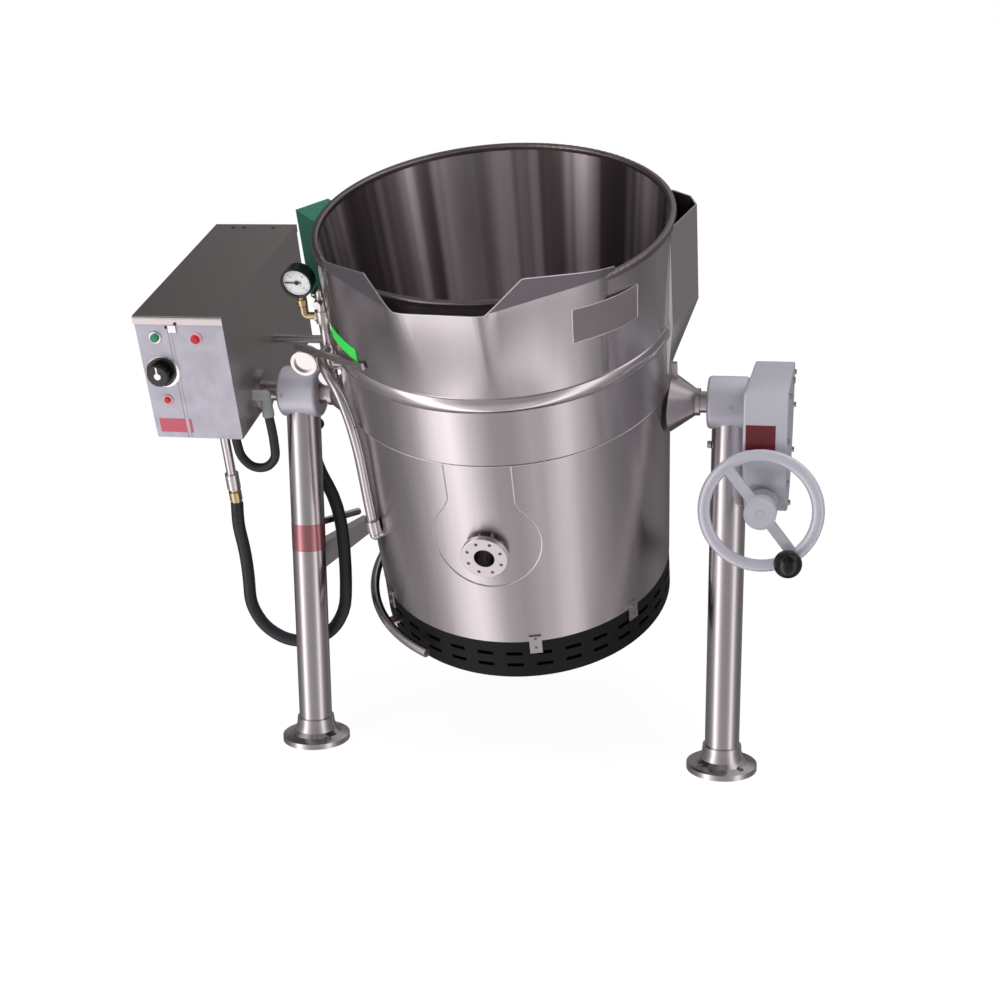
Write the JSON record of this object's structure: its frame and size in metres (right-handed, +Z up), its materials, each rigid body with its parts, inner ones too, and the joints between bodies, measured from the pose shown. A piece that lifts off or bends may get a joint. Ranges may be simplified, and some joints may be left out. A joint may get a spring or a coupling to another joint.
{
  "type": "steam jacketed kettle",
  "caption": "Floor-standing tilting steam jacketed kettle: round-bottomed vessel with pouring lip on trunnions between pedestal legs, handwheel worm drive and gas control console.",
  "frame": {"origin": "on the floor, under the middle of the outline of the kettle as it stands tilted at rest", "axes": "+X along the trunnions towards the handwheel side, -Y the side that pours, +Z up"},
  "size_m": [1.3895, 1.0046, 1.3103],
  "materials": {
    "stainless": "brushed and polished",
    "housing_paint": "satin light grey paint",
    "black_paint": "satin black paint",
    "steel": "machined",
    "bronze": "machined bronze",
    "brass": "machined brass",
    "cast_iron": "cast",
    "black_plastic": "moulded",
    "red_plastic": "moulded",
    "hose_rubber": "smooth"
  },
  "bodies": {
    "stand": {"left_leg": "stainless", "right_leg": "stainless", "foot_flanges": "stainless", "rear_arms": "stainless", "left_bearing_housing": "housing_paint", "right_bearing_housing": "housing_paint", "bearing_bushes": "bronze", "bearing_set_screws": "steel", "gear_housing": "housing_paint", "gear_housing_cover": "housing_paint", "cover_screws": "steel", "worm_bushes": "bronze", "hose_hanger": "stainless", "gas_inlet_elbow": "cast_iron", "gas_hose": "hose_rubber"},
    "kettle": {"inner_bowl": "stainless", "bowl_dish": "stainless", "rim_ring": "stainless", "upper_band": "stainless", "bead_ring": "stainless", "steam_jacket": "stainless", "lower_skirt": "stainless", "pour_lip": "stainless", "base_guard": "black_paint", "guard_brackets": "steel", "burner_ring": "cast_iron", "burner_feed": "steel", "draw_off_neck": "stainless", "draw_off_flange": "stainless", "left_trunnion": "steel", "right_trunnion": "steel", "sector_gear": "cast_iron", "left_flue_box": "stainless", "right_flue_shroud": "stainless", "gauge_case": "black_plastic", "gauge_stem": "brass", "fitting_manifold": "steel", "safety_valve": "brass", "sight_glass": "steel", "fill_valve": "steel", "level_pipe": "steel", "guard_hoop": "steel", "fitting_stay": "steel", "console_shell": "stainless", "console_lid": "stainless", "console_panel": "stainless", "gas_valve": "steel", "thermostat_body": "black_plastic", "pilot_lamps": "red_plastic", "gas_nipple": "brass", "conduit": "hose_rubber"},
    "worm": {"worm_shaft": "steel", "handwheel": "housing_paint", "crank_stud": "steel"},
    "knob": {"crank_knob": "black_plastic"},
    "needle": {"gauge_needle": "steel"},
    "relief_lever": {"safety_lever": "steel"},
    "dial": {"thermostat_knob": "black_plastic"},
    "button": {"push_button": "red_plastic"}
  },
  "joints": [
    {"name": "kettle_tilt", "type": "hinge", "parent": "stand", "child": "kettle", "pos_m": [0.04175, 0.02108, 0.795], "axis": [1, 0, 0], "range_deg": [-22, 68]},
    {"name": "worm_spin", "type": "hinge", "parent": "stand", "child": "worm", "pos_m": [0.57475, 0.02108, 0.628], "axis": [0, 1, 0], "range_deg": [-4900, 1590]},
    {"name": "crank_knob_spin", "type": "hinge", "parent": "worm", "child": "knob", "pos_m": [0.62986, -0.24492, 0.53628], "axis": [0, 1, 0], "continuous": true},
    {"name": "gauge_needle_swing", "type": "hinge", "parent": "kettle", "child": "needle", "pos_m": [-0.36025, -0.14116, 1.04438], "axis": [0, -0.9272, -0.3746], "range_deg": [-270, 0]},
    {"name": "relief_lever_lift", "type": "hinge", "parent": "kettle", "child": "relief_lever", "pos_m": [-0.32125, -0.12749, 1.03459], "axis": [1, 0, 0], "range_deg": [-25, 0], "stiffness_Nm_per_rad": 0.4, "springref_deg": 5.73},
    {"name": "thermostat_turn", "type": "hinge", "parent": "kettle", "child": "dial", "pos_m": [-0.65425, -0.15995, 0.86025], "axis": [0, -0.9511, -0.309], "range_deg": [0, 270]},
    {"name": "button_press", "type": "slide", "parent": "kettle", "child": "button", "axis": [0, 0.9511, 0.309], "range_m": [0, 0.003], "stiffness_N_per_m": 500, "springref_m": -0.001}
  ],
  "couplings": [
    {"joint": "worm_spin", "follows": "kettle_tilt", "ratio": -72}
  ]
}
